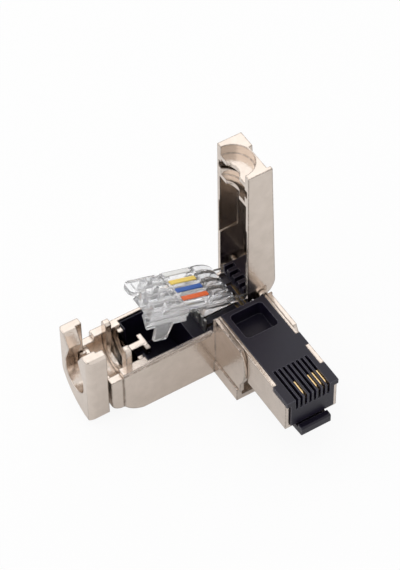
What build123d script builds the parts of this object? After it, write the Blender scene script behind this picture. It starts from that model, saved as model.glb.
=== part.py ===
from build123d import *
import os

# Right-angled RJ45 plug for field wiring, lying open on its base.
# The cable axis runs along X, the plug nose points along -Y and Z is up. The origin lies on the
# resting face, where the vertical planes of the cable axis and the nose axis cross.

# Plug face of the eight-way standard
plug_width = 11.68
contact_pitch = 1.02
contact_count = 8
slot_width = 0.56
slot_length = 8.1
slot_depth = 1.5
front_slot_drop = 2.9
nose_height = 8.3
nose_reach = 31.5

# Die-cast base
body_width = 13.6
wall = 0.95
floor_thickness = 1.2
arm_height = 12.5
arm_reach = 27.2
belly_run = 4.2
belly_rise = 2.9
cavity_reach = 21.2
heel_height = 11.5
rebate_height = 0.6
rebate_depth = 0.2

# Fork that carries the nose
fork_height = 16.0
fork_reach = 17.5
fork_plate = 1.25
fork_recess = 0.3
fork_round = 8.8
root_drop = 5.4
root_gap = 0.3
flange_height = 3.3
flange_reach = 15.2
flange_lip = 1.3
lip_run = 1.8

# Cable entry
cable_z = 10.5
cable_radius = 3.0
throat_radius = 4.7
neck_reach = 29.8
neck_width = 12.8
neck_height = 11.3
neck_bottom = 2.6
chin_run = 1.0
chin_rise = 1.5
saddle_gap = 1.8
saddle_thickness = 1.3
rim_thickness = 1.1
horn_height = 16.6
horn_cap = 0.7
rim_radius = 3.5
rim_cap = 0.2
spigot_radius = 3.7
spigot_wall = 0.6
spigot_length = 1.4
lug_height = 10.6
lug_thickness = 1.6
lug_length = 2.9
lug_bar = 4.2
lug_stem = 1.5
lug_post = 1.4
lug_bar_length = 1.0

# Lock knob
knob_length = 4.3
knob_gap = 0.3
knob_top = 19.7
knob_bottom = 1.2
knob_width = 11.6
knob_sweep = 11.0
knob_heel = 1.0
knob_foot = 2.2
knob_shoulder = 1.5
bore_rise = 1.6
knob_corner = 1.2
knob_bore_radius = 3.3
knob_bore_drop = 0.8
lip_height = 16.6
lip_width = 3.3
mouth_width = 6.8
knob_chamfer = 0.5

# Nose shell and plug insert
shell_wall = 0.9
shell_bottom = 7.75
shoulder_length = 5.0
shoulder_drop = 1.3
insert_rear = 6.4
pocket_width = 7.3
pocket_length = 6.6
pocket_rear = 7.4
pocket_depth = 3.4
pin_y = 11.8
pin_z = 6.2
blind_wall = 0.4
tab_start = 17.9
tab_run = 3.3
tab_drop = 2.4

# Cover and its hinge
hinge_x = 5.0
hinge_z = 15.8
cover_width = 11.0
cover_wall = 0.9
cover_back = 8.2
cover_front = 1.85
cover_length = 34.7
cover_taper = 1.0
foot_round = 4.6
foot_rise = 2.6
hinge_pin_radius = 0.6
ear_radius = 0.95
ear_thickness = 0.8
ear_root = 2.0
ear_step = 0.3
throat_length = 8.4
collar_radius = 4.3
collar_depth = 2.3
rib_thickness = 1.0
notch_start = -4.7
notch_width = 6.2
notch_length = 2.6
notch_depth = 0.8
panel_bottom = 26.0
panel_top = 35.2
panel_depth = 0.35
panel_width = 4.1

# Wire manager, tilted open about its own pivot in the cover's foot
pivot_x = 2.9
pivot_z = 14.6
tilt = 18.5
manager_width = 8.5
manager_start = 3.1
manager_reach = 23.6
tab_reach = 25.6
tab_width = 3.4
tab_thickness = 1.0
manager_top = 2.9
manager_bottom = -2.7
wire_pitch = 2.3
wire_hole_radius = 0.75
wire_height = -0.5
finger_length = 6.6
finger_groove = 1.1
leg_reach = 21.2
leg_length = 3.9
leg_height = 3.9
leg_thickness = 0.8
flute_radius = 0.6
flute_offset = 0.35
flute_heights = (1.9, 0.9, -1.9)
flute_start = 10.2
step_start = 17.0
step_length = 1.2
step_depth = 0.4
window_start = 19.2
window_length = 1.2
window_width = 0.8
strip_start = 10.5
strip_length = 6.0
strip_width = 1.0
strip_thickness = 0.25
stub_radius = 0.5
arm_thickness = 0.5
arm_radius = 0.65
blade_slot_start = 10.1
blade_slot_end = 14.3

# Black insert in the cover's foot
foot_insert_top = 17.0
foot_insert_width = 7.3
comb_slot = 0.9
comb_depth = 2.1
comb_floor = 15.3
comb_pitch = 1.8

# Terminals
blade_x = 7.1
blade_thickness = 0.4
blade_width = 1.8
blade_slot = 0.5
blade_top = 13.7
lead_z = 9.4
lead_thickness = 0.4
lead_width = 0.5
contact_thickness = 0.42
contact_length = 3.8
contact_drop = 0.5

# Carrier block and liner in the trough
block_top = 10.6
block_reach = 10.2
liner_wall = 0.4
liner_top = 12.1
liner_floor = 0.8
liner_dip = 2.0

# Latch lever
latch_width = 6.7
latch_z = 7.4
latch_top = 8.35
latch_root_length = 1.4
latch_root_height = 2.25
latch_root_round = 0.4
latch_length = 12.0
latch_thickness = 1.0
latch_free_z = 5.8

# Clearances
fit_gap = 0.05
running_gap = 0.15
horn_gap = 0.25
pin_gap = 0.04

half_body = body_width / 2
cavity_width = body_width - 2 * wall
nose_top = shell_bottom + nose_height
root_y = -(fork_reach - fork_round)
saddle_reach = cavity_reach + rim_thickness + saddle_gap + saddle_thickness
root_z = fork_height - root_drop
root_round = fork_round - root_gap
foot_x = cover_back - foot_round
foot_z = hinge_z + foot_rise
cover_top = hinge_z + cover_length
cover_inner = cover_width - 2 * cover_wall
throat_x = hinge_x + cable_z - hinge_z
insert_width = plug_width - 2 * shell_wall - 2 * fit_gap
insert_bottom = shell_bottom + shell_wall + fit_gap
slot_places = [(i - (contact_count - 1) / 2) * contact_pitch for i in range(contact_count)]
wire_places = [(i - 1.5) * wire_pitch for i in range(4)]
comb_places = [(i - 1.5) * comb_pitch for i in range(4)]
contacts = [
    (number, slot_places[contact_count - int(number)], row) for number, row in zip("6321", wire_places)
]

os.makedirs("parts", exist_ok=True)


def across(x):
    return Plane(origin=(x, 0, 0), x_dir=(0, 1, 0), z_dir=(1, 0, 0))


def along(y):
    return Plane(origin=(0, y, 0), x_dir=(1, 0, 0), z_dir=(0, -1, 0))


def level(z):
    return Plane.XY.offset(z)


def keep(piece, name):
    piece.part.label = name
    export_step(piece.part, f"parts/{name}.step")


# Base housing: a trough for the wires and a corner that grips the nose between two plates
with BuildPart() as base_housing:
    with BuildSketch(along(half_body)):
        with BuildLine():
            belly = ThreePointArc(
                (-arm_reach + belly_run, 0),
                (-arm_reach + 0.36 * belly_run, 0.45 * belly_rise),
                (-arm_reach, belly_rise),
            )
            Polyline(belly @ 1, (-arm_reach, arm_height), (-half_body, arm_height), (-half_body, heel_height),
                     (half_body, heel_height), (half_body, 0), belly @ 0)
        make_face()
    extrude(amount=body_width)
    # Neck under the cable, its underside curving up to the end
    with BuildSketch(along(neck_width / 2)):
        with BuildLine():
            chin = ThreePointArc((-arm_reach + wall, neck_bottom), (-neck_reach + chin_run, neck_bottom + 0.25 * chin_rise),
                                 (-neck_reach, neck_bottom + chin_rise))
            Polyline(chin @ 1, (-neck_reach, neck_height), (-arm_reach + wall, neck_height), chin @ 0)
        make_face()
    extrude(amount=neck_width)
    # Corner flange and the fork plates with their round ends
    with BuildSketch(level(0)):
        Rectangle(body_width, flange_reach, align=(Align.CENTER, Align.MAX))
    extrude(amount=flange_height)
    with BuildSketch(across(-half_body)):
        with Locations((root_y, root_z)):
            Circle(fork_round)
        with Locations((root_y, flange_height)):
            Rectangle(fork_round - 1.6, fork_height - flange_height, align=(Align.MAX, Align.MIN))
            Rectangle(fork_round, fork_height - flange_height, align=(Align.MIN, Align.MIN))
        with Locations((-half_body + 0.4, 0)):
            Rectangle(fork_reach, fork_height, align=(Align.MAX, Align.MIN), mode=Mode.INTERSECT)
    extrude(amount=body_width)
    # Low lip at the front of the flange
    with BuildSketch(level(flange_lip)):
        with Locations((0, -flange_reach)):
            Rectangle(body_width - 2 * fork_plate, 2 * lip_run)
    extrude(amount=flange_height - flange_lip, mode=Mode.SUBTRACT)
    # Outer faces of the fork plates, set back above the band, and the rebate along the trough's walls
    with BuildSketch(level(flange_height)):
        with Locations((0, -half_body)):
            Rectangle(body_width, fork_reach, align=(Align.CENTER, Align.MAX))
            Rectangle(body_width - 2 * fork_recess, fork_reach, align=(Align.CENTER, Align.MAX),
                      mode=Mode.SUBTRACT)
    extrude(amount=fork_height, mode=Mode.SUBTRACT)
    with BuildSketch(level(arm_height - rebate_height)):
        with Locations((-half_body - rebate_height, 0)):
            Rectangle(arm_reach, body_width, align=(Align.MAX, Align.CENTER))
            Rectangle(arm_reach, body_width - 2 * rebate_depth, align=(Align.MAX, Align.CENTER),
                      mode=Mode.SUBTRACT)
    extrude(amount=rebate_height, mode=Mode.SUBTRACT)
    # Room between the fork plates for the nose, and the hollow of the trough
    for height, start in ((flange_height, insert_rear - fit_gap), (lead_z - 0.1, cavity_width / 2 - wall)):
        with BuildSketch(level(height)):
            with Locations((0, -start)):
                Rectangle(body_width - 2 * fork_plate, fork_reach, align=(Align.CENTER, Align.MAX))
        extrude(amount=fork_height, mode=Mode.SUBTRACT)
    with BuildSketch(level(floor_thickness)):
        with Locations((-cavity_reach, 0)):
            Rectangle(cavity_reach + half_body - wall, cavity_width, align=(Align.MIN, Align.CENTER))
    extrude(amount=fork_height, mode=Mode.SUBTRACT)
    # Ears that carry the hinge pin, the near one rising beside the carrier block
    with BuildSketch(along(-cover_width / 2 - 0.1)):
        with BuildLine():
            crown = ThreePointArc((hinge_x - ear_radius, hinge_z), (hinge_x, hinge_z + ear_radius),
                                  (hinge_x + ear_radius, hinge_z))
            Polyline(crown @ 1, (half_body - wall, hinge_z - ear_root), (half_body - wall, floor_thickness),
                     (hinge_x - ear_step, floor_thickness), (hinge_x - ear_step, block_top + 2 * fit_gap),
                     (hinge_x - ear_radius, block_top + ear_radius), crown @ 0)
        make_face()
    extrude(amount=ear_thickness)
    with BuildSketch(along(half_body)):
        with Locations((hinge_x, hinge_z)):
            Circle(ear_radius)
        with Locations((hinge_x, block_top + 0.1)):
            Rectangle(2 * ear_radius, hinge_z - block_top - 0.1, align=(Align.CENTER, Align.MIN))
    extrude(amount=half_body - cover_width / 2 - 0.1)
    with BuildSketch(along(half_body)):
        with Locations((hinge_x, hinge_z)):
            Circle(hinge_pin_radius)
    extrude(amount=body_width, mode=Mode.SUBTRACT)
    # Cable channel with two saddles across it
    with BuildSketch(across(-neck_reach)):
        with Locations((0, cable_z)):
            Circle(throat_radius)
            Rectangle(2 * throat_radius, fork_height, align=(Align.CENTER, Align.MIN))
    extrude(amount=neck_reach - cavity_reach, mode=Mode.SUBTRACT)
    for reach, thickness, height, radius, cap in (
        (saddle_reach, saddle_thickness, horn_height, cable_radius, horn_cap),
        (cavity_reach + rim_thickness, rim_thickness, arm_height - rebate_height, rim_radius, rim_cap),
    ):
        with BuildSketch(across(-reach)) as collar:
            with Locations((0, cable_z)):
                Circle(throat_radius + 0.1)
                Rectangle(2 * throat_radius + 0.2, height - cable_z, align=(Align.CENTER, Align.MIN))
                Circle(radius, mode=Mode.SUBTRACT)
                Rectangle(2 * radius, fork_height, align=(Align.CENTER, Align.MIN), mode=Mode.SUBTRACT)
            with Locations((0, height)):
                Rectangle(body_width, height, align=(Align.CENTER, Align.MAX), mode=Mode.INTERSECT)
            fillet(collar.vertices().group_by(Axis.Y)[-1], cap)
        extrude(amount=thickness)
    # T-shaped tie lug that reaches into the trough
    with BuildSketch(level(lug_height - lug_thickness)):
        with Locations((-cavity_reach - rim_thickness, 0)):
            Rectangle(rim_thickness + lug_length, lug_stem, align=(Align.MIN, Align.CENTER))
        with Locations((-cavity_reach + lug_length, 0)):
            Rectangle(lug_bar_length, lug_bar, align=(Align.MAX, Align.CENTER))
    extrude(amount=lug_thickness)
    with BuildSketch(level(cable_z - cable_radius - lug_post)):
        with Locations((-cavity_reach - rim_thickness, 0)):
            Rectangle(rim_thickness, lug_stem, align=(Align.MIN, Align.CENTER))
    extrude(amount=lug_height - cable_z + cable_radius + lug_post)
    # Half spigot that the lock knob turns on
    with BuildSketch(across(-neck_reach + 1.0)):
        with Locations((0, cable_z)):
            Circle(throat_radius + 0.1)
            Circle(spigot_radius - spigot_wall, mode=Mode.SUBTRACT)
            Rectangle(3 * spigot_radius, 2 * spigot_radius, align=(Align.CENTER, Align.MIN), mode=Mode.SUBTRACT)
        with Locations((0, neck_height)):
            Rectangle(body_width, neck_height, align=(Align.CENTER, Align.MAX), mode=Mode.INTERSECT)
    extrude(amount=-1.0)
    with BuildSketch(across(-neck_reach)):
        with Locations((0, cable_z)):
            Circle(spigot_radius)
            Circle(spigot_radius - spigot_wall, mode=Mode.SUBTRACT)
        with Locations((0, neck_height)):
            Rectangle(body_width, neck_height, align=(Align.CENTER, Align.MAX), mode=Mode.INTERSECT)
    extrude(amount=-spigot_length)
    # Cross bore for the pin that holds the nose
    with BuildSketch(across(-half_body + fork_recess + blind_wall)):
        with Locations((-pin_y, pin_z)):
            Circle(hinge_pin_radius)
    extrude(amount=body_width, mode=Mode.SUBTRACT)
keep(base_housing, "base_housing")

# Nose shell: a sleeve round the plug insert, open above, with a round root between the fork plates
root_width = body_width - 2 * fork_plate - 2 * fit_gap
with BuildPart() as nose_shell:
    with BuildSketch(across(-root_width / 2)):
        with Locations((root_y, root_z)):
            Circle(root_round)
        with Locations((-insert_rear, flange_height + fit_gap)):
            Rectangle(fork_reach, nose_top - flange_height - fit_gap, align=(Align.MAX, Align.MIN),
                      mode=Mode.INTERSECT)
    extrude(amount=root_width)
    for width, start in ((root_width, insert_rear), (plug_width, fork_reach + fit_gap)):
        with BuildSketch(across(-width / 2)):
            with Locations((-start, shell_bottom)):
                Rectangle(nose_reach - start - 0.5, nose_height, align=(Align.MAX, Align.MIN))
        extrude(amount=width)
    with BuildSketch(across(-insert_width / 2 - fit_gap)):
        with Locations((0, shell_bottom + shell_wall)):
            Rectangle(2 * nose_reach, nose_height, align=(Align.CENTER, Align.MIN))
    extrude(amount=insert_width + 2 * fit_gap, mode=Mode.SUBTRACT)
    with BuildSketch(level(nose_top - shoulder_drop)):
        with Locations((0, -nose_reach + shoulder_length)):
            Rectangle(body_width, shoulder_length, align=(Align.CENTER, Align.MAX))
    extrude(amount=shoulder_drop, mode=Mode.SUBTRACT)
    # Window for the snap tab of the insert
    with BuildSketch(level(nose_top - tab_drop)):
        with Locations((0, -tab_start)):
            Rectangle(body_width, tab_run, align=(Align.MIN, Align.MAX))
    extrude(amount=tab_drop, mode=Mode.SUBTRACT)
    with BuildSketch(across(-half_body)):
        with Locations((-pin_y, pin_z)):
            Circle(hinge_pin_radius)
    extrude(amount=body_width, mode=Mode.SUBTRACT)
keep(nose_shell, "nose_shell")

# Plug insert: the contact carrier with its slots and the square moulding pocket
with BuildPart() as plug_insert:
    with BuildSketch(level(insert_bottom)):
        with Locations((0, -insert_rear)):
            Rectangle(insert_width, nose_reach - insert_rear, align=(Align.CENTER, Align.MAX))
    extrude(amount=nose_top - insert_bottom)
    with BuildSketch(level(nose_top - shoulder_drop + fit_gap)):
        with Locations((0, -nose_reach + shoulder_length - fit_gap)):
            Rectangle(plug_width, shoulder_length - fit_gap, align=(Align.CENTER, Align.MAX))
    extrude(amount=shoulder_drop - fit_gap)
    with BuildSketch(level(nose_top - tab_drop + fit_gap)):
        with Locations((0, -tab_start - fit_gap)):
            Rectangle(plug_width / 2, tab_run - 2 * fit_gap, align=(Align.MIN, Align.MAX))
    extrude(amount=tab_drop - fit_gap)
    with BuildSketch(level(nose_top)):
        with Locations((0, -pocket_rear - pocket_length / 2)):
            RectangleRounded(pocket_width, pocket_length, 0.8)
    extrude(amount=-pocket_depth, mode=Mode.SUBTRACT)
    with BuildSketch(level(nose_top)):
        with Locations(*[(x, -nose_reach + slot_length) for x in slot_places]):
            Rectangle(slot_width, slot_length, align=(Align.CENTER, Align.MAX))
    extrude(amount=-slot_depth, mode=Mode.SUBTRACT)
    with BuildSketch(level(nose_top - front_slot_drop)):
        with Locations(*[(x, -nose_reach) for x in slot_places]):
            Rectangle(slot_width, 0.9, align=(Align.CENTER, Align.MIN))
    extrude(amount=front_slot_drop, mode=Mode.SUBTRACT)
    # Chambers of the fitted contacts and the grooves of their leads below
    contact_xs = [x for number, x, row in contacts]
    with BuildSketch(level(insert_bottom)):
        with Locations(*[(x, -nose_reach + 0.9 - fit_gap) for x in contact_xs]):
            Rectangle(slot_width, contact_length + 2 * fit_gap, align=(Align.CENTER, Align.MIN))
    extrude(amount=nose_top - insert_bottom, mode=Mode.SUBTRACT)
    with BuildSketch(level(insert_bottom)):
        with Locations(*[(x, -nose_reach + 1.5) for x in contact_xs]):
            Rectangle(lead_width + 2 * fit_gap, nose_reach, align=(Align.CENTER, Align.MIN))
    extrude(amount=lead_z + lead_thickness + fit_gap - insert_bottom, mode=Mode.SUBTRACT)
keep(plug_insert, "plug_insert")

# Carrier block: fills the corner and the head of the trough, and holds the terminals upright
with BuildPart() as contact_block:
    with BuildSketch(level(floor_thickness + fit_gap)):
        with Locations((-block_reach, 0)):
            Rectangle(block_reach + half_body - wall - fit_gap, cavity_width - 2 * fit_gap,
                      align=(Align.MIN, Align.CENTER))
    extrude(amount=block_top - floor_thickness - fit_gap)
    with BuildSketch(level(lead_z - fit_gap)):
        for number, x, row in contacts:
            with Locations((x, -half_body)):
                Rectangle(lead_width + 2 * fit_gap, row + lead_width / 2 + fit_gap + half_body,
                          align=(Align.CENTER, Align.MIN))
            with Locations((x + lead_width / 2 + fit_gap, row)):
                Rectangle(x + blade_x + lead_width / 2 + fit_gap, lead_width + 2 * fit_gap,
                          align=(Align.MAX, Align.CENTER))
    extrude(amount=block_top, mode=Mode.SUBTRACT)
    with BuildSketch(level(lead_z - fit_gap)):
        with Locations(*[(-blade_x, y) for y in wire_places]):
            Rectangle(blade_thickness + 2 * fit_gap, blade_width + 2 * fit_gap)
    extrude(amount=block_top, mode=Mode.SUBTRACT)
    # Step that clears the near ear of the hinge
    with BuildSketch(level(0)):
        with Locations((hinge_x - ear_step - 2 * fit_gap, -cover_width / 2 - fit_gap)):
            Rectangle(half_body, half_body, align=(Align.MIN, Align.MAX))
    extrude(amount=hinge_z, mode=Mode.SUBTRACT)
keep(contact_block, "contact_block")

# Contacts: each a blade in its slot and a lead that turns the corner to its terminal
for number, x, row in contacts:
    with BuildPart() as contact:
        with BuildSketch(across(x - contact_thickness / 2)):
            with Locations((-nose_reach + 0.9, lead_z)):
                blade = Rectangle(contact_length, nose_top - contact_drop - lead_z, align=(Align.MIN, Align.MIN))
            fillet(blade.vertices().group_by(Axis.Y)[-1], 0.5)
        extrude(amount=contact_thickness)
        with BuildSketch(level(lead_z)):
            with Locations((x, -nose_reach + 2.0)):
                Rectangle(lead_width, nose_reach - 2.0 + row + lead_width / 2, align=(Align.CENTER, Align.MIN))
            with Locations((x + lead_width / 2, row)):
                Rectangle(x + lead_width / 2 + blade_x - blade_thickness / 2, lead_width,
                          align=(Align.MAX, Align.CENTER))
        extrude(amount=lead_thickness)
    keep(contact, f"contact_{number}")

# Terminals: forked plates that cut through the wire's insulation
for index, row in enumerate(wire_places):
    with BuildPart() as terminal:
        with BuildSketch(across(-blade_x - blade_thickness / 2)):
            with Locations((row, lead_z)):
                Rectangle(blade_width, blade_top - lead_z, align=(Align.CENTER, Align.MIN))
            with Locations((row, blade_top)):
                Rectangle(blade_slot, 2.2, align=(Align.CENTER, Align.MAX), mode=Mode.SUBTRACT)
        extrude(amount=blade_thickness)
    keep(terminal, f"terminal_{index + 1}")

# Liner: an insulating tub in the cable end of the trough
with BuildPart() as trough_liner:
    liner_width = cavity_width - 2 * fit_gap
    liner_length = cavity_reach - block_reach - 2 * fit_gap
    with BuildSketch(level(floor_thickness + fit_gap)):
        with Locations((-cavity_reach + fit_gap, 0)):
            Rectangle(liner_length, liner_width, align=(Align.MIN, Align.CENTER))
    extrude(amount=liner_top - floor_thickness - fit_gap)
    with BuildSketch(level(floor_thickness + fit_gap + liner_floor)):
        with Locations((-cavity_reach + fit_gap + liner_wall, 0)):
            Rectangle(liner_length, liner_width - 2 * liner_wall, align=(Align.MIN, Align.CENTER))
    extrude(amount=liner_top, mode=Mode.SUBTRACT)
    with BuildSketch(level(cable_z - cable_radius - liner_dip)):
        with Locations((-cavity_reach, 0)):
            Rectangle(2 * liner_wall + 1, 2 * cable_radius + 1, align=(Align.MIN, Align.CENTER))
    extrude(amount=liner_top, mode=Mode.SUBTRACT)
keep(trough_liner, "trough_liner")

# Pin through the fork plates under the nose
with BuildPart() as nose_pin:
    with BuildSketch(across(-half_body + fork_recess + blind_wall + fit_gap)):
        with Locations((-pin_y, pin_z)):
            Circle(hinge_pin_radius - fit_gap)
    extrude(amount=body_width - 2 * fork_recess - blind_wall - 2 * fit_gap)
keep(nose_pin, "nose_pin")

# Lock knob: a cam-shaped yoke that slips over the cable and turns on the spigot
knob_rear = -neck_reach - knob_gap
with BuildPart() as lock_knob:
    with BuildSketch(across(knob_rear)):
        with BuildLine():
            side = knob_width / 2
            shoulder = (side, cable_z + knob_shoulder)
            heel = (-side + knob_foot, knob_bottom)
            cam = RadiusArc(shoulder, heel, knob_sweep)
            Polyline(heel, (-side + knob_heel, knob_bottom), (-side, knob_bottom + knob_heel),
                     (-side, knob_top - knob_chamfer), (-side + knob_chamfer, knob_top),
                     (side - knob_chamfer, knob_top), (side, knob_top - knob_chamfer), shoulder)
        make_face()
        # Bore, drawn down into an oblong, with the slot that narrows to two lips and opens to the mouth
        with BuildLine():
            bore_z = cable_z - knob_bore_drop
            Polyline(
                (-knob_bore_radius, bore_z), (-knob_bore_radius, cable_z + bore_rise),
                (-lip_width / 2, lip_height), (-mouth_width / 2, knob_top), (-mouth_width / 2, knob_top + 1),
                (mouth_width / 2, knob_top + 1), (mouth_width / 2, knob_top), (lip_width / 2, lip_height),
                (knob_bore_radius, cable_z + bore_rise), (knob_bore_radius, bore_z), close=True,
            )
        make_face(mode=Mode.SUBTRACT)
        with Locations((0, bore_z)):
            Circle(knob_bore_radius, mode=Mode.SUBTRACT)
    extrude(amount=-knob_length)
    # Front corners rounded off in plan
    with BuildSketch(level(0)):
        with Locations((knob_rear, 0)):
            plan = Rectangle(knob_length, knob_width, align=(Align.MAX, Align.CENTER))
        fillet(plan.vertices().group_by(Axis.X)[0], knob_corner)
    extrude(amount=knob_top + 1, mode=Mode.INTERSECT)
    # Recess in the rear face for the spigot, open to the slot
    with BuildSketch(across(knob_rear)):
        with Locations((0, cable_z)):
            Circle(spigot_radius + running_gap)
            Rectangle(2 * (spigot_radius + running_gap), knob_top, align=(Align.CENTER, Align.MIN))
    extrude(amount=-(spigot_length - knob_gap + 2 * running_gap), mode=Mode.SUBTRACT)
keep(lock_knob, "lock_knob")

# Cover, standing open: a channel whose open side faces the cable end
with BuildPart() as cover:
    with BuildSketch(along(cover_width / 2)):
        with BuildLine():
            foot = RadiusArc((cover_back, foot_z), (foot_x, foot_z - foot_round), foot_round)
            Polyline(foot @ 1, (cover_front, foot_z - foot_round), (cover_front, cover_top),
                     (cover_back - cover_taper, cover_top), foot @ 0)
        make_face()
    extrude(amount=cover_width)
    with BuildSketch(along(cover_inner / 2)):
        with BuildLine():
            inner_back = cover_back - cover_wall
            narrowing = cover_taper * (cover_top - throat_length - foot_z) / (cover_top - foot_z)
            inner = RadiusArc((inner_back, foot_z), (foot_x, foot_z - foot_round + cover_wall),
                              foot_round - cover_wall)
            Polyline(inner @ 1, (foot_x, foot_z - foot_round - 1), (cover_front - 0.1, foot_z - foot_round - 1),
                     (cover_front - 0.1, cover_top - throat_length),
                     (inner_back - narrowing, cover_top - throat_length), inner @ 0)
        make_face()
    extrude(amount=cover_inner, mode=Mode.SUBTRACT)
    # Panel pockets in the side walls
    with BuildSketch(level(panel_bottom)):
        with Locations((cover_front, 0)):
            Rectangle(panel_width, cover_inner + 2 * panel_depth, align=(Align.MIN, Align.CENTER))
    extrude(amount=panel_top - panel_bottom, mode=Mode.SUBTRACT)
    # Half throat over the cable, its wide collar, two arch ribs and the pocket for the saddle horns
    with BuildSketch(level(cover_top - throat_length)):
        with Locations((throat_x, 0)):
            Circle(throat_radius)
    extrude(amount=throat_length, mode=Mode.SUBTRACT)
    with BuildSketch(level(cover_top - collar_depth)):
        with Locations((cover_front, 0)):
            Circle(collar_radius)
    extrude(amount=collar_depth, mode=Mode.SUBTRACT)
    for drop in (collar_depth, throat_length - rib_thickness):
        with BuildSketch(level(cover_top - drop)):
            with Locations((throat_x, 0)):
                Circle(throat_radius + 0.1)
                Circle(spigot_radius - spigot_wall, mode=Mode.SUBTRACT)
            with Locations((cover_front, 0)):
                Rectangle(cover_back, cover_width, align=(Align.MIN, Align.CENTER), mode=Mode.INTERSECT)
        extrude(amount=-rib_thickness)
    with BuildSketch(level(hinge_z + hinge_x + saddle_reach - saddle_thickness - horn_gap)):
        with Locations((cover_front, 0)):
            Rectangle(hinge_x - cover_front + horn_height - hinge_z + horn_gap, 2 * throat_radius + 2 * horn_gap,
                      align=(Align.MIN, Align.CENTER))
    extrude(amount=saddle_thickness + 2 * horn_gap, mode=Mode.SUBTRACT)
    # Notch across the end of the back
    with BuildSketch(level(cover_top)):
        with Locations((cover_back - cover_taper - notch_depth, notch_start)):
            Rectangle(cover_back, notch_width, align=(Align.MIN, Align.MIN))
    extrude(amount=-notch_length, mode=Mode.SUBTRACT)
    # Bores for the hinge pin and for the wire manager's pivot studs
    with BuildSketch(along(half_body)):
        with Locations((hinge_x, hinge_z)):
            Circle(hinge_pin_radius + pin_gap)
        with Locations((pivot_x, pivot_z)):
            Circle(stub_radius + pin_gap)
    extrude(amount=body_width, mode=Mode.SUBTRACT)
keep(cover, "cover")

# Hinge pin
with BuildPart() as hinge_pin:
    with BuildSketch(along(half_body - fit_gap)):
        with Locations((hinge_x, hinge_z)):
            Circle(hinge_pin_radius)
    extrude(amount=half_body - fit_gap + cover_width / 2 + ear_thickness)
keep(hinge_pin, "hinge_pin")

# Black insert in the cover's foot, with the comb that the wire ends stop against
with BuildPart() as foot_insert:
    with BuildSketch(along(foot_insert_width / 2)):
        with Locations((foot_x, foot_z)):
            Circle(foot_round - cover_wall - fit_gap)
        with Locations((cover_front + fit_gap, foot_z)):
            Rectangle(foot_x - cover_front - fit_gap, foot_round - cover_wall - fit_gap,
                      align=(Align.MIN, Align.MAX))
        with Locations((cover_front + fit_gap, foot_insert_top)):
            Rectangle(cover_back, foot_round, align=(Align.MIN, Align.MAX), mode=Mode.INTERSECT)
        with Locations((hinge_x, hinge_z)):
            Circle(hinge_pin_radius + fit_gap, mode=Mode.SUBTRACT)
    extrude(amount=foot_insert_width)
    with BuildSketch(level(comb_floor)):
        with Locations(*[(cover_front, y) for y in comb_places]):
            Rectangle(comb_depth, comb_slot, align=(Align.MIN, Align.CENTER))
    extrude(amount=foot_insert_top - comb_floor, mode=Mode.SUBTRACT)
keep(foot_insert, "foot_insert")

# Wire manager: clear moulding in its own tilted frame, u towards the cable end and h upwards
pivot = Plane(origin=(pivot_x, 0, pivot_z), x_dir=(1, 0, 0), z_dir=(0, 0, 1)).rotated((0, tilt, 0))


def manager_level(h):
    return pivot.offset(h)


def manager_side(y):
    return Plane(origin=pivot.from_local_coords((0, y, 0)), x_dir=pivot.x_dir, z_dir=(0, -1, 0))


def manager_across(u):
    return Plane(origin=pivot.from_local_coords((-u, 0, 0)), x_dir=(0, 1, 0), z_dir=pivot.x_dir)


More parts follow.
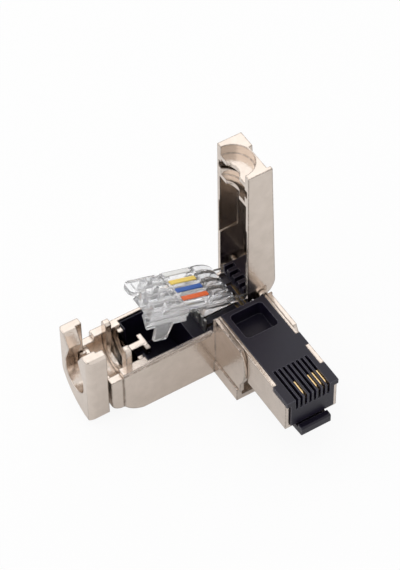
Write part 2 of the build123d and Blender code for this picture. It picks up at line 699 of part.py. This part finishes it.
with BuildPart() as wire_manager:
    with BuildSketch(manager_side(manager_width / 2)):
        with BuildLine():
            brow = ThreePointArc(
                (-manager_start, 0.4),
                (-manager_start - 0.4 * finger_length, 0.82 * manager_top),
                (-manager_start - finger_length, manager_top),
            )
            Polyline(
                brow @ 1, (-manager_reach, manager_top), (-manager_reach, manager_bottom),
                (-manager_start - finger_length, manager_bottom), (-manager_start, -arm_radius), brow @ 0,
            )
        make_face()
    extrude(amount=manager_width)
    # Far half of the open end, cut away under the thumb tab
    with BuildSketch(manager_across(manager_reach + 1)):
        Polygon(
            (1.2, manager_top - tab_thickness - 0.5), (manager_width, manager_top - tab_thickness - 0.5),
            (manager_width, manager_bottom - 1), (0.5 - manager_width / 2, manager_bottom - 1),
            (0.5 - manager_width / 2, manager_bottom), align=None,
        )
    extrude(amount=3.1, mode=Mode.SUBTRACT)
    # Thumb tab
    with BuildSketch(manager_level(manager_top - tab_thickness)):
        with Locations((-manager_reach + 1, manager_width / 2)):
            tab = Rectangle(tab_reach - manager_reach + 1, tab_width, align=(Align.MAX, Align.MAX))
        fillet(tab.vertices().group_by(Axis.X)[0], 1.2)
    extrude(amount=tab_thickness)
    # Leg that reaches down into the trough
    with BuildSketch(manager_side(-manager_width / 2 + leg_thickness)):
        Polygon(
            (-leg_reach, manager_bottom + 0.1), (-leg_reach + leg_length, manager_bottom + 0.1),
            (-leg_reach + leg_length - 0.5, manager_bottom - leg_height),
            (-leg_reach + 0.5, manager_bottom - leg_height), align=None,
        )
    extrude(amount=leg_thickness)
    # Wire channels, bored from the cable end, open above between the fingers
    with BuildSketch(manager_across(tab_reach + 1)):
        with Locations(*[(y, wire_height) for y in wire_places]):
            Circle(wire_hole_radius)
    extrude(amount=tab_reach - manager_start, mode=Mode.SUBTRACT)
    with BuildSketch(manager_level(wire_height)):
        with Locations(*[(0.4 - manager_start - finger_length, y) for y in wire_places]):
            Rectangle(finger_length + 1, finger_groove, align=(Align.MIN, Align.CENTER))
    extrude(amount=manager_top - wire_height, mode=Mode.SUBTRACT)
    # Slots that the terminals enter when the manager is pressed down
    with BuildSketch(manager_level(manager_bottom)):
        with Locations(*[(-blade_slot_end, y) for y in wire_places]):
            Rectangle(blade_slot_end - blade_slot_start, blade_width + 0.3, align=(Align.MIN, Align.CENTER))
    extrude(amount=-manager_bottom + 0.2, mode=Mode.SUBTRACT)
    # Flutes along both sides, the step across the top and the windows over the wire channels
    with BuildSketch(manager_across(manager_reach + 1)):
        with Locations(*[(side * (manager_width / 2 + flute_offset), h) for side in (-1, 1) for h in flute_heights]):
            Circle(flute_radius)
    extrude(amount=manager_reach + 1 - flute_start, mode=Mode.SUBTRACT)
    with BuildSketch(manager_level(manager_top)):
        with Locations((-step_start, 0)):
            Rectangle(step_length, manager_width + 1, align=(Align.MAX, Align.CENTER))
    extrude(amount=-step_depth, mode=Mode.SUBTRACT)
    with BuildSketch(manager_level(manager_top)):
        with Locations(*[(-window_start, y) for y in wire_places]):
            Rectangle(window_length, window_width, align=(Align.MAX, Align.CENTER))
    extrude(amount=wire_height - manager_top, mode=Mode.SUBTRACT)
    # Arms to the pivot studs
    for start, direction in ((manager_width / 2, 1), (-manager_width / 2, -1)):
        with BuildSketch(manager_side(start)):
            Circle(arm_radius)
            with Locations((-manager_start - 1.5, 0)):
                Rectangle(manager_start + 1.5, 2 * arm_radius, align=(Align.MIN, Align.CENTER))
        extrude(amount=direction * arm_thickness)
        with BuildSketch(manager_side(start)):
            Circle(stub_radius)
        extrude(amount=direction * (manager_width - cover_width) / 2)
keep(wire_manager, "wire_manager")

# Colour strips that show which wire goes where
for name, row in zip(("orange", "blue", "yellow", "white"), wire_places):
    with BuildPart() as strip:
        with BuildSketch(manager_level(manager_top)):
            with Locations((-strip_start, row)):
                Rectangle(strip_length, strip_width, align=(Align.MAX, Align.CENTER))
        extrude(amount=strip_thickness)
    keep(strip, f"strip_{name}")

# Latch lever: a rounded root in front of the nose and a tongue that runs back below it
with BuildPart() as latch_lever:
    with BuildSketch(across(-latch_width / 2)):
        with Locations((-nose_reach - running_gap, latch_top)):
            root = Rectangle(latch_root_length, latch_root_height, align=(Align.MAX, Align.MAX))
        fillet(root.vertices().sort_by(Axis.X)[:2], latch_root_round)
        with BuildLine():
            latch_y = -nose_reach - running_gap - latch_root_length / 2
            Polyline(
                (latch_y, latch_z + 0.2), (latch_y, latch_top - latch_root_height),
                (latch_y + latch_length, latch_free_z - latch_thickness),
                (latch_y + latch_length, latch_free_z), close=True,
            )
        make_face()
    extrude(amount=latch_width)
keep(latch_lever, "latch_lever")
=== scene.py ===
import math

import bpy
from mathutils import Matrix, Vector

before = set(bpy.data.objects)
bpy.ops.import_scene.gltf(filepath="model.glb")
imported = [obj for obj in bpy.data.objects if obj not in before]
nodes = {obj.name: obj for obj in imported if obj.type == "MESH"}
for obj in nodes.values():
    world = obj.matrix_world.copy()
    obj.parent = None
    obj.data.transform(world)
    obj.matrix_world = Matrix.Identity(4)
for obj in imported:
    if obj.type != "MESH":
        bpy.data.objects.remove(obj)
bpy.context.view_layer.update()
mm = 0.001  # sizes are written in mm, and Blender works in metres
white = (1, 1, 1, 1)
print("frame loaded with", len(nodes), "nodes")


# An sRGB colour written as hex, turned into the linear numbers that the shaders use
def linear(hexText):
    channels = [int(hexText[i:i + 2], 16) / 255 for i in (0, 2, 4)]
    return [c / 12.92 if c <= 0.04045 else ((c + 0.055) / 1.055) ** 2.4 for c in channels] + [1.0]


# One node with its settings, its values and what is linked into it
def addNode(tree, kind, place, values=None, links=None, **settings):
    node = tree.nodes.new(kind)
    node.location = place
    for name, value in settings.items():
        setattr(node, name, value)
    for name, value in (values or {}).items():
        node.inputs[name].default_value = value
    for name, source in (links or {}).items():
        tree.links.new(source, node.inputs[name])
    return node


camera = {
    "azimuth": -31.0, "elevation": 50.15, "roll": -0.95,  # degrees, the photograph's viewing angle
    "distance": 500,  # mm, a long lens, so the picture is nearly without perspective
    "sensorWidth": 36, "clipStart": 10,  # mm
    "image": (400, 570), "pixelsPerMetre": 5120,
    "anchor": (-11.8, -6.8, 9.5),  # a point near the middle of the object, in mm
    "anchorPixel": (192.23, 352.85),  # where that point lands in the picture
}


def makeCamera():
    azimuth, elevation = math.radians(camera["azimuth"]), math.radians(camera["elevation"])
    back = Vector((
        math.sin(azimuth) * math.cos(elevation),
        -math.cos(azimuth) * math.cos(elevation),
        math.sin(elevation),
    ))
    roll = Matrix.Rotation(math.radians(camera["roll"]), 3, "Z")
    turn = (-back).to_track_quat("-Z", "Y").to_matrix() @ roll
    right, up = turn.col[0], turn.col[1]
    width, height = camera["image"]
    scale = camera["pixelsPerMetre"]
    aim = Vector(camera["anchor"]) * mm
    aim += right * (width / 2 - camera["anchorPixel"][0]) / scale
    aim += up * (camera["anchorPixel"][1] - height / 2) / scale
    data = bpy.data.cameras.new("camera")
    data.sensor_fit = "HORIZONTAL"
    data.sensor_width = camera["sensorWidth"]
    data.lens = camera["sensorWidth"] * camera["distance"] * mm * scale / width
    data.clip_start = camera["clipStart"] * mm
    holder = bpy.data.objects.new("camera", data)
    holder.matrix_world = Matrix.Translation(aim + back * camera["distance"] * mm) @ turn.to_4x4()
    bpy.context.collection.objects.link(holder)
    bpy.context.scene.camera = holder


makeCamera()
print("camera set")


# The wire manager is a little cloudy in its thick body and clearer in its fingers, so how much light
# goes through changes along X
def addClearness(tree, place, shader, clearness):
    sides = addNode(tree, "ShaderNodeSeparateXYZ", (-850, -300), links={"Vector": place})
    weight = addNode(tree, "ShaderNodeMapRange", (-550, -400),
                     {"From Min": clearness["from"] * mm, "From Max": clearness["to"] * mm,
                      "To Min": clearness["weight"][0], "To Max": clearness["weight"][1]},
                     {"Value": sides.outputs["X"]})
    tree.links.new(weight.outputs["Result"], shader.inputs["Transmission Weight"])


# How the painted edge shade and highlight is broken up, in every finish that has it
edgeShadeAndHighlightMask = {
    "rays": 8,  # per sample, enough for a clean line
    "grain": (0.35, 0.55), "strength": (0.3, 1.0),  # the grain's usual range, and the strength there
}


# Colour changes along edges and in corners: painted shade where it turns darker, on the metal, and a
# painted highlight where it turns paler, on the nylon. The mask is where the surface turns sharply
# within a short reach, and the grain breaks it up
def addEdgeShadeAndHighlight(tree, edgeShadeAndHighlight, tint, grain):
    rounded = addNode(tree, "ShaderNodeBevel", (-1100, 800), {"Radius": edgeShadeAndHighlight["reach"] * mm},
                      samples=edgeShadeAndHighlightMask["rays"])
    surface = addNode(tree, "ShaderNodeNewGeometry", (-1100, 600))
    agreement = addNode(tree, "ShaderNodeVectorMath", (-850, 700),
                        links={0: rounded.outputs["Normal"], 1: surface.outputs["Normal"]},
                        operation="DOT_PRODUCT")
    turning = addNode(tree, "ShaderNodeMapRange", (-650, 700),
                      {"From Min": edgeShadeAndHighlight["agreement"][0], "From Max": edgeShadeAndHighlight["agreement"][1],
                       "To Min": 0.0, "To Max": edgeShadeAndHighlight["share"]},
                      {"Value": agreement.outputs["Value"]})
    patchy = addNode(tree, "ShaderNodeMapRange", (-650, 500),
                     {"From Min": edgeShadeAndHighlightMask["grain"][0], "From Max": edgeShadeAndHighlightMask["grain"][1],
                      "To Min": edgeShadeAndHighlightMask["strength"][0], "To Max": edgeShadeAndHighlightMask["strength"][1]},
                     {"Value": grain.outputs["Fac"]})
    share = addNode(tree, "ShaderNodeMath", (-450, 600),
                    links={0: turning.outputs["Result"], 1: patchy.outputs["Result"]},
                    operation="MULTIPLY")
    return addNode(tree, "ShaderNodeMix", (-250, 400), {"B": linear(edgeShadeAndHighlight["colour"])},
                   {"Factor": share.outputs[0], "A": tint.outputs["Result"]}, data_type="RGBA")


grainHeight = 0.3  # of the grain's width


# Colour wanders a little over each surface, and a fine grain sets gloss and relief. In each look,
# sizes are in mm, and roughness goes from the first number to the second with the grain
def makeMaterial(name, look):
    material = bpy.data.materials.new(name)
    material.use_nodes = True
    tree = material.node_tree
    tree.nodes.clear()
    place = addNode(tree, "ShaderNodeTexCoord", (-1100, 0)).outputs["Object"]
    cloud = addNode(tree, "ShaderNodeTexNoise", (-850, 300),
                    {"Scale": 1 / (look["cloudSize"] * mm), "Detail": 3.0}, {"Vector": place})
    grain = addNode(tree, "ShaderNodeTexNoise", (-850, -50),
                    {"Scale": 1 / (look["grainSize"] * mm), "Detail": 2.0}, {"Vector": place})
    tint = addNode(tree, "ShaderNodeMix", (-550, 300),
                   {"A": linear(look["colour"]), "B": linear(look["otherColour"])},
                   {"Factor": cloud.outputs["Fac"]}, data_type="RGBA")
    # Painted shade and painted highlight along edges and in corners, in the finishes that have them
    if "edgeShadeAndHighlight" in look:
        tint = addEdgeShadeAndHighlight(tree, look["edgeShadeAndHighlight"], tint, grain)
    gloss = addNode(tree, "ShaderNodeMapRange", (-150, 0),
                    {"To Min": look["roughness"][0], "To Max": look["roughness"][1]},
                    {"Value": grain.outputs["Fac"]})
    relief = addNode(tree, "ShaderNodeBump", (-150, -300),
                     {"Strength": look["relief"], "Distance": look["grainSize"] * mm * grainHeight},
                     {"Height": grain.outputs["Fac"]})
    shader = addNode(tree, "ShaderNodeBsdfPrincipled", (150, 0), look["surface"],
                     {"Base Color": tint.outputs["Result"], "Roughness": gloss.outputs["Result"],
                      "Normal": relief.outputs["Normal"]})
    if "clearness" in look:
        addClearness(tree, place, shader, look["clearness"])
    addNode(tree, "ShaderNodeOutputMaterial", (450, 0), links={"Surface": shader.outputs["BSDF"]})
    return material


# Pad-printed ink under a thin gloss: a flat, strong colour
def inkLook(colour, otherColour):
    return {
        "colour": colour, "otherColour": otherColour, "cloudSize": 1, "grainSize": 0.12,
        "roughness": (0.28, 0.38), "relief": 0.03, "surface": {"IOR": 1.5},
    }


# In an edge shade and highlight dictionary, agreement is how well the smoothed and the real surface
# agree in direction where the painted edge colour starts and where it is full, and 1 is a plain flat
looks = {
    # Zinc die casting, rumbled and plated with satin nickel: a warm grey metal with a soft, slightly
    # uneven sheen, with thin dark lines along its edges and painted shade in its inner corners, both
    # painted into its colour. Its grain is drawn at 0.5 mm, coarser than the real 0.1 mm, so that it
    # shows
    "satinNickel": {
        "colour": "E0D4CA", "otherColour": "CABEB3", "cloudSize": 2, "grainSize": 0.5,
        "roughness": (0.14, 0.26), "relief": 0.18,
        # Painted shade: dark brown along edges and in inner corners
        "edgeShadeAndHighlight": {"reach": 0.4, "agreement": (0.998, 0.95), "colour": "5A4C42", "share": 0.85},
        "surface": {"Metallic": 1.0},
    },
    # Glass-filled nylon from a lightly spark-textured mould: nearly black and satin. The little
    # violet in its colour is a painted bluish reflection, and its edges are made paler by a painted
    # highlight
    "blackNylon": {
        "colour": "0E0A1A", "otherColour": "151022", "cloudSize": 4, "grainSize": 0.2,
        "roughness": (0.28, 0.42), "relief": 0.2,
        # Painted highlight: paler along edges and in corners
        "edgeShadeAndHighlight": {"reach": 0.25, "agreement": (0.995, 0.92), "colour": "6E6C78", "share": 0.8},
        "surface": {"IOR": 1.4},
    },
    # Polycarbonate from a polished mould: clear, with bright edges and a faint grey body. Its IOR is
    # under the usual 1.58, because the many inner faces would otherwise turn it dark
    "clearPolycarbonate": {
        "colour": "FFFFFF", "otherColour": "F6F6F8", "cloudSize": 5, "grainSize": 0.6,
        "roughness": (0.02, 0.07), "relief": 0.03,
        "clearness": {"from": -7.0, "to": -5.0, "weight": (0.82, 0.95)},
        "surface": {"IOR": 1.46},
    },
    # Hard gold over nickel on a drawn blade: bright and smooth
    "goldPlate": {
        "colour": "FBDDA6", "otherColour": "EFC684", "cloudSize": 1, "grainSize": 0.1,
        "roughness": (0.18, 0.28), "relief": 0.05, "surface": {"Metallic": 1.0},
    },
    # Matt tin on stamped bronze: a soft cool grey
    "mattTin": {
        "colour": "C9C9C6", "otherColour": "BDBDBA", "cloudSize": 1, "grainSize": 0.1,
        "roughness": (0.28, 0.4), "relief": 0.05, "surface": {"Metallic": 1.0},
    },
    # Ground stainless pin: bright, with a short grain
    "groundSteel": {
        "colour": "C8C3BC", "otherColour": "B5AFA8", "cloudSize": 1, "grainSize": 0.1,
        "roughness": (0.2, 0.3), "relief": 0.05, "surface": {"Metallic": 1.0},
    },
    "whiteInk": inkLook("F4F4F2", "EBEBE9"),
    "yellowInk": inkLook("FBDC70", "F6D25E"),
    "blueInk": inkLook("2A5FB4", "2355A6"),
    "orangeInk": inkLook("F07038", "E6642C"),
}
materials = {name: makeMaterial(name, look) for name, look in looks.items()}
print("materials made:", len(materials))

# Each piece's finish and the radius of its worn or moulded edges in mm. The radius is held back by
# the shortest edge of the piece, unless it is a full one
pieces = {
    "base_housing": {"finish": "satinNickel", "edge": 0.08, "full": True},
    "nose_shell": {"finish": "satinNickel", "edge": 0.12, "full": True},
    "cover": {"finish": "satinNickel", "edge": 0.08, "full": True},
    "lock_knob": {"finish": "satinNickel", "edge": 0.18, "full": True},
    "plug_insert": {"finish": "blackNylon", "edge": 0.06, "full": True},
    "latch_lever": {"finish": "blackNylon", "edge": 0.1},
    "contact_block": {"finish": "blackNylon", "edge": 0.06},
    "trough_liner": {"finish": "blackNylon", "edge": 0.15},
    "foot_insert": {"finish": "blackNylon", "edge": 0.12},
    "wire_manager": {"finish": "clearPolycarbonate", "edge": 0.1},
    "strip_white": {"finish": "whiteInk", "edge": 0.03},
    "strip_yellow": {"finish": "yellowInk", "edge": 0.03},
    "strip_blue": {"finish": "blueInk", "edge": 0.03},
    "strip_orange": {"finish": "orangeInk", "edge": 0.03},
    "contact_1": {"finish": "goldPlate", "edge": 0.04},
    "contact_2": {"finish": "goldPlate", "edge": 0.04},
    "contact_3": {"finish": "goldPlate", "edge": 0.04},
    "contact_6": {"finish": "goldPlate", "edge": 0.04},
    "terminal_1": {"finish": "mattTin", "edge": 0.03},
    "terminal_2": {"finish": "mattTin", "edge": 0.03},
    "terminal_3": {"finish": "mattTin", "edge": 0.03},
    "terminal_4": {"finish": "mattTin", "edge": 0.03},
    "hinge_pin": {"finish": "groundSteel", "edge": 0.06},
    "nose_pin": {"finish": "groundSteel", "edge": 0.06},
}

rounding = {
    "joinWithin": 0.001,  # mm, corners of the mesh this near are one corner
    "flatUnder": 1, "sharpOver": 35,  # degrees between faces
    "segments": 2,
}


# The mesh is joined and its flats are freed of inner edges, so that the rounding has clean edges to
# work on
def dressPiece(name, piece):
    solid = nodes[name]
    solid.data.materials.clear()
    solid.data.materials.append(materials[piece["finish"]])
    joined = solid.modifiers.new("joined", "WELD")
    joined.merge_threshold = rounding["joinWithin"] * mm
    flats = solid.modifiers.new("flats", "DECIMATE")
    flats.decimate_type = "DISSOLVE"
    flats.angle_limit = math.radians(rounding["flatUnder"])
    edges = solid.modifiers.new("edges", "BEVEL")
    edges.width = piece["edge"] * mm
    edges.segments = rounding["segments"]
    edges.limit_method = "ANGLE"
    edges.angle_limit = math.radians(rounding["sharpOver"])
    edges.use_clamp_overlap = not piece.get("full", False)
    even = solid.modifiers.new("even", "WEIGHTED_NORMAL")
    even.mode = "FACE_AREA"


for name, piece in pieces.items():
    dressPiece(name, piece)
print("finishes set on", len(pieces), "pieces")


studio = {
    "floorHalf": 600, "floorColour": "F7F7F7",
    "floorGlow": 0.9, "floorGlowInMetal": 0.15,  # share of plain white in what is seen of the floor
    "skySeen": 1.0, "skyLight": 0.66,
    "lamps": {  # places and sizes in mm, power in watts, all aimed at the origin
        "topLight": {"place": (230, 380, 540), "size": (800, 650), "power": 0.9},
        "keyLight": {"place": (-420, 160, 420), "size": (900, 900), "power": 1.6},
    },
}


# What share of plain white a ray sees: one share from the camera and through clear pieces, one off
# shiny surfaces, and none in the light that falls on things
def whiteShare(tree, seen, mirrored):
    ray = addNode(tree, "ShaderNodeLightPath", (-900, 400)).outputs
    direct = addNode(tree, "ShaderNodeMath", (-650, 500),
                     links={0: ray["Is Camera Ray"], 1: ray["Is Transmission Ray"]},
                     operation="MAXIMUM")
    dimmed = addNode(tree, "ShaderNodeMath", (-450, 300), {1: mirrored},
                     {0: ray["Is Glossy Ray"]}, operation="MULTIPLY")
    return addNode(tree, "ShaderNodeMath", (-250, 400), {1: seen},
                   {0: direct.outputs[0], 2: dimmed.outputs[0]}, operation="MULTIPLY_ADD").outputs[0]


def makeFloor():
    half = studio["floorHalf"] * mm
    corners = [(-half, -half, 0), (half, -half, 0), (half, half, 0), (-half, half, 0)]
    mesh = bpy.data.meshes.new("floor")
    mesh.from_pydata(corners, [], [(0, 1, 2, 3)])
    floor = bpy.data.objects.new("floor", mesh)
    bpy.context.collection.objects.link(floor)
    paper = bpy.data.materials.new("whitePaper")
    paper.use_nodes = True
    tree = paper.node_tree
    tree.nodes.clear()
    matt = addNode(tree, "ShaderNodeBsdfDiffuse", (0, 100), {"Color": linear(studio["floorColour"])})
    glow = addNode(tree, "ShaderNodeEmission", (0, -100), {"Color": white, "Strength": 1.0})
    share = whiteShare(tree, studio["floorGlow"], studio["floorGlowInMetal"])
    mix = addNode(tree, "ShaderNodeMixShader", (250, 0),
                  links={"Fac": share, 1: matt.outputs["BSDF"], 2: glow.outputs["Emission"]})
    addNode(tree, "ShaderNodeOutputMaterial", (450, 0), links={"Surface": mix.outputs["Shader"]})
    mesh.materials.append(paper)


def makeLamp(name, lamp):
    data = bpy.data.lights.new(name, "AREA")
    data.shape = "RECTANGLE"
    data.size, data.size_y = [side * mm for side in lamp["size"]]
    data.energy = lamp["power"]
    light = bpy.data.objects.new(name, data)
    light.location = Vector(lamp["place"]) * mm
    light.rotation_euler = (-Vector(lamp["place"])).to_track_quat("-Z", "Y").to_euler()
    bpy.context.collection.objects.link(light)


def makeWorld():
    world = bpy.data.worlds.new("studio")
    bpy.context.scene.world = world
    world.use_nodes = True
    tree = world.node_tree
    tree.nodes.clear()
    seen = addNode(tree, "ShaderNodeBackground", (0, 100),
                   {"Color": white, "Strength": studio["skySeen"]})
    lit = addNode(tree, "ShaderNodeBackground", (0, -100),
                  {"Color": white, "Strength": studio["skyLight"]})
    share = whiteShare(tree, 1.0, 1.0)
    mix = addNode(tree, "ShaderNodeMixShader", (250, 0),
                  links={"Fac": share, 1: lit.outputs["Background"], 2: seen.outputs["Background"]})
    addNode(tree, "ShaderNodeOutputWorld", (450, 0), links={"Surface": mix.outputs["Shader"]})


makeFloor()
for name, lamp in studio["lamps"].items():
    makeLamp(name, lamp)
makeWorld()
bpy.context.scene.view_settings.view_transform = "Standard"
print("studio set")
